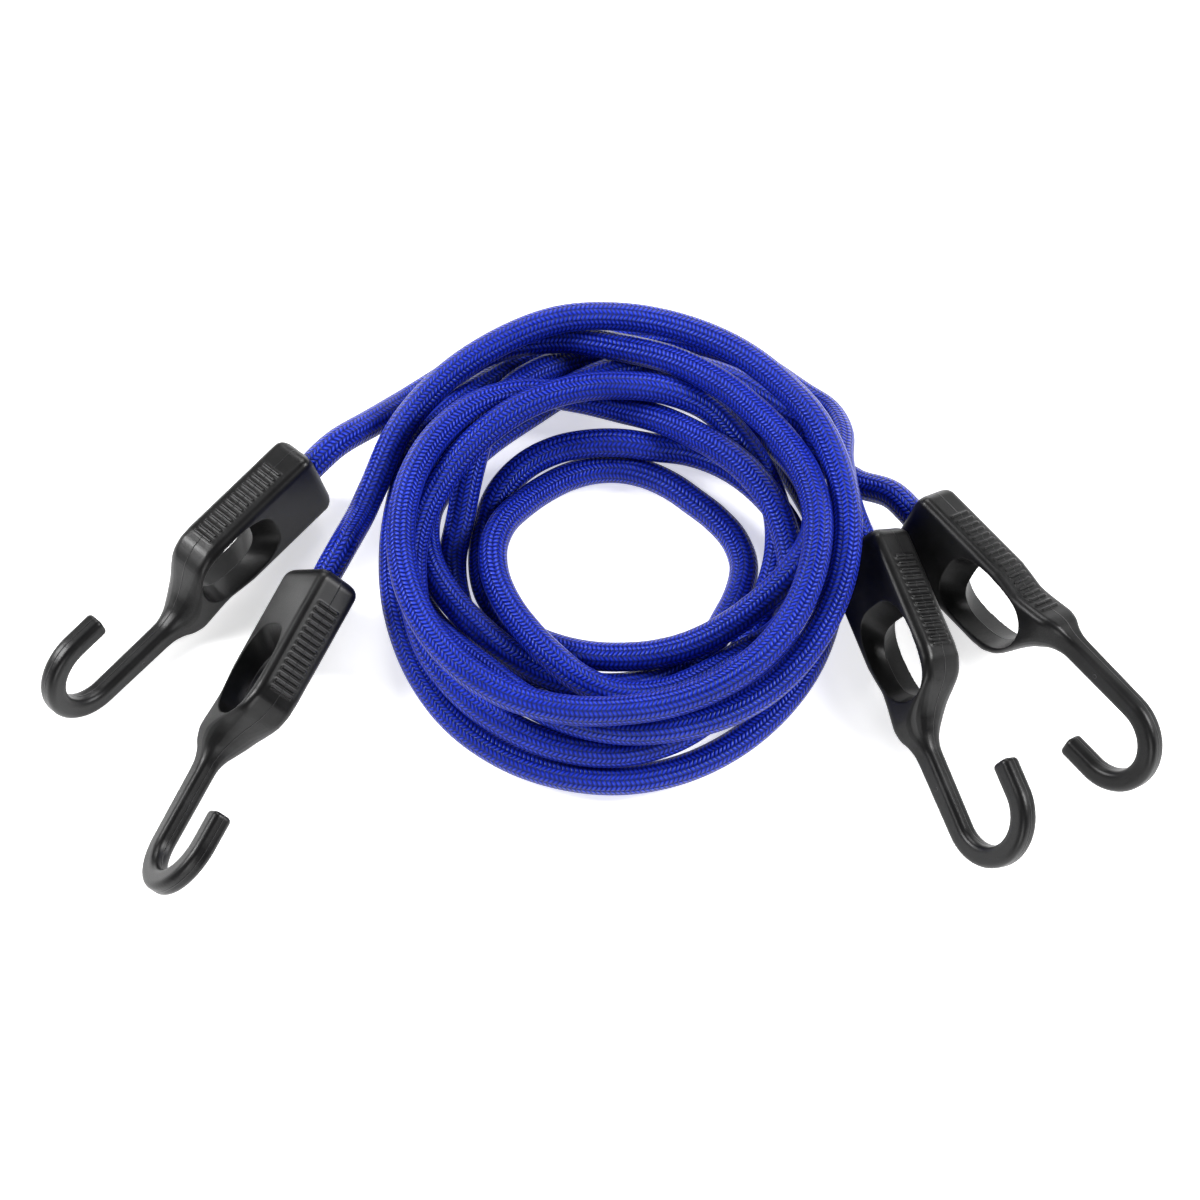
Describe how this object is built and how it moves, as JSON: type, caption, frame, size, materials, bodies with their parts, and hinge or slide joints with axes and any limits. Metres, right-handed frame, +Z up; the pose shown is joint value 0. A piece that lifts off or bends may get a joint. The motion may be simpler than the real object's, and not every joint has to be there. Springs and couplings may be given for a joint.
{
  "type": "bungee cord",
  "caption": "Coiled pair of braided elastic cords, each with a moulded finger grip and round open hook at both ends.",
  "frame": {"origin": "on the surface that the cords lie on, below the middle of the outline of the four hooks", "axes": "+X from the left pair of hooks to the right pair, +Y from the hooks' bends to the coil's far side, +Z up"},
  "size_m": [0.3984, 0.2353, 0.0513],
  "materials": {
    "hook_plastic": "fine-grained moulded black",
    "cord_braid": "royal blue herringbone braid",
    "ring_steel": "plain crimped",
    "core_latex": "natural latex strands"
  },
  "bodies": {
    "coils": {"coil_a": "cord_braid", "coil_b": "cord_braid", "tail_1": "cord_braid", "tail_2": "cord_braid", "tail_3": "cord_braid", "tail_4": "cord_braid"},
    "end_1": {"ferrule_1": "ring_steel", "cord_end_1": "cord_braid", "core_1": "core_latex"},
    "grip_1": {"hook_1": "hook_plastic"},
    "end_2": {"ferrule_2": "ring_steel", "cord_end_2": "cord_braid", "core_2": "core_latex"},
    "grip_2": {"hook_2": "hook_plastic"},
    "end_3": {"ferrule_3": "ring_steel", "cord_end_3": "cord_braid", "core_3": "core_latex"},
    "grip_3": {"hook_3": "hook_plastic"},
    "end_4": {"ferrule_4": "ring_steel", "cord_end_4": "cord_braid", "core_4": "core_latex"},
    "grip_4": {"hook_4": "hook_plastic"}
  },
  "joints": [
    {"name": "stretch_1", "type": "slide", "parent": "coils", "child": "end_1", "axis": [-0.6808, -0.73, -0.0599], "range_m": [0, 0.06], "stiffness_N_per_m": 200},
    {"name": "swivel_1", "type": "hinge", "parent": "end_1", "child": "grip_1", "pos_m": [-0.10705, 0.07978, 0.02103], "axis": [-0.6808, -0.73, -0.0599], "range_deg": [-35, 35]},
    {"name": "stretch_2", "type": "slide", "parent": "coils", "child": "end_2", "axis": [0.6211, -0.7809, 0.0663], "range_m": [0, 0.06], "stiffness_N_per_m": 200},
    {"name": "swivel_2", "type": "hinge", "parent": "end_2", "child": "grip_2", "pos_m": [0.11665, 0.06168, 0.01654], "axis": [0.6211, -0.7809, 0.0663], "range_deg": [-15, 15]},
    {"name": "stretch_3", "type": "slide", "parent": "coils", "child": "end_3", "axis": [-0.4474, -0.8895, -0.0925], "range_m": [0, 0.06], "stiffness_N_per_m": 200},
    {"name": "swivel_3", "type": "hinge", "parent": "end_3", "child": "grip_3", "pos_m": [-0.09955, 0.03418, 0.02277], "axis": [-0.4474, -0.8895, -0.0925], "range_deg": [-30, 30]},
    {"name": "stretch_4", "type": "slide", "parent": "coils", "child": "end_4", "axis": [0.3441, -0.9351, -0.0847], "range_m": [0, 0.06], "stiffness_N_per_m": 200},
    {"name": "swivel_4", "type": "hinge", "parent": "end_4", "child": "grip_4", "pos_m": [0.09705, 0.04788, 0.02256], "axis": [0.3441, -0.9351, -0.0847], "range_deg": [-12, 5]}
  ]
}
